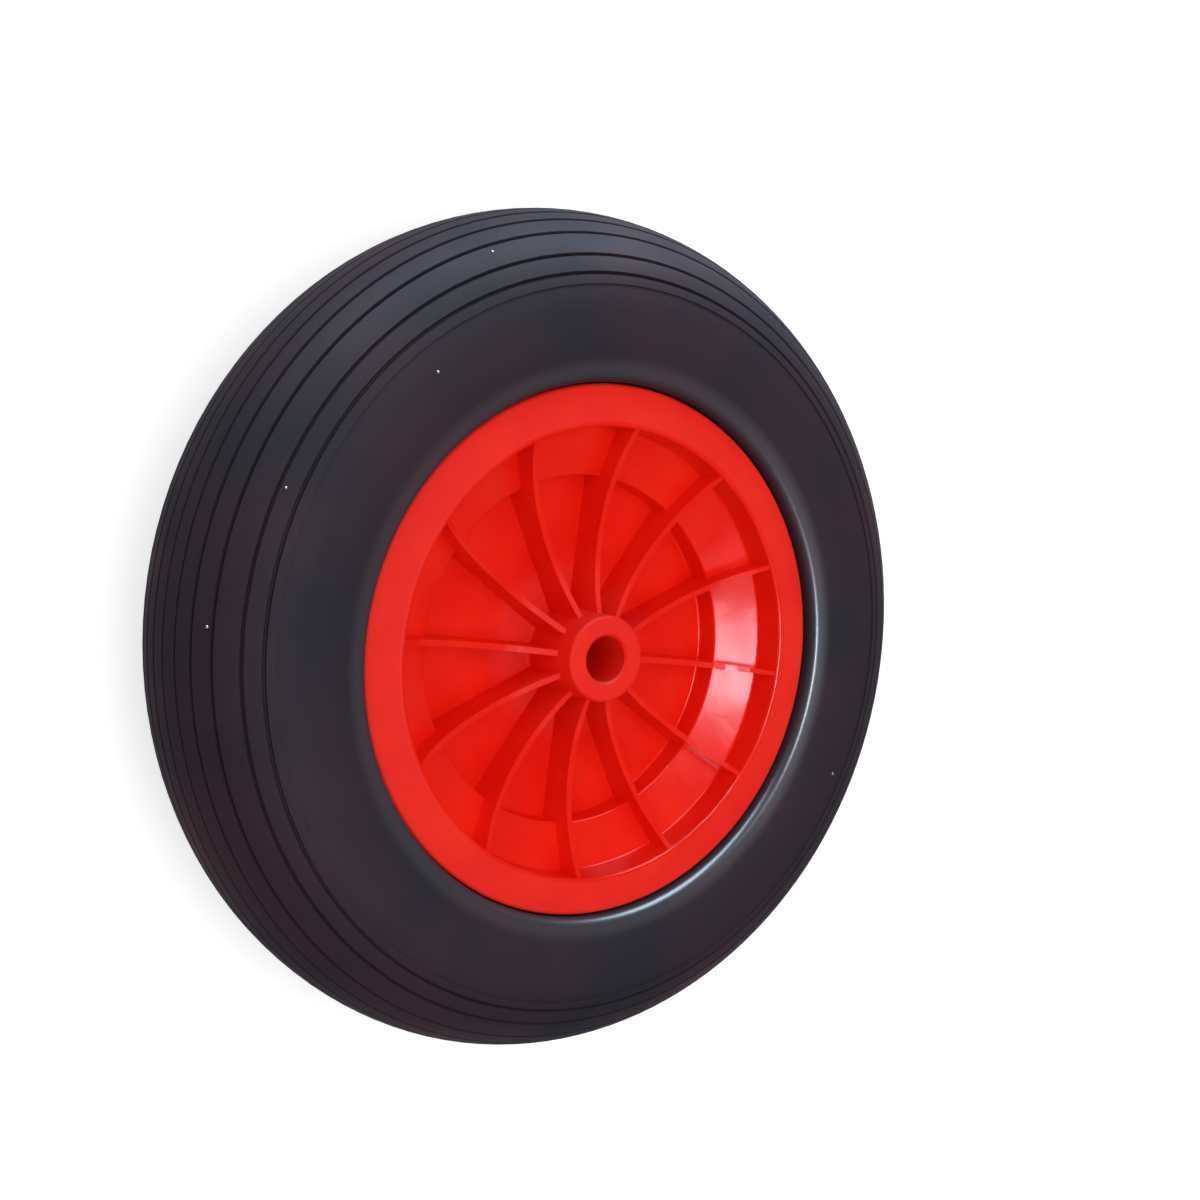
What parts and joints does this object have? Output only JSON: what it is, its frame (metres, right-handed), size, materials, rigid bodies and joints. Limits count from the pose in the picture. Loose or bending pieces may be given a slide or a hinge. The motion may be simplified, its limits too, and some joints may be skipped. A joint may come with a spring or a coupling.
{
  "type": "wheelbarrow wheel",
  "caption": "Flat-free wheelbarrow wheel: a grooved black foam tyre on a red moulded rim with dished, ribbed sides and a plain bore through its hub.",
  "frame": {"origin": "centre of the wheel, on the axis of its bore, midway between the two hub faces", "axes": "+Z along the axle, which is the wheel's axis of symmetry; the wheel lies on its side, and one of the twelve ribs runs out along +X"},
  "size_m": [0.4, 0.4, 0.096],
  "materials": {
    "tyre": "matt black foamed rubber with a moulded skin",
    "rim": "glossy red moulded plastic"
  },
  "bodies": {
    "root": {"tyre": "tyre", "rim": "rim"}
  },
  "joints": []
}
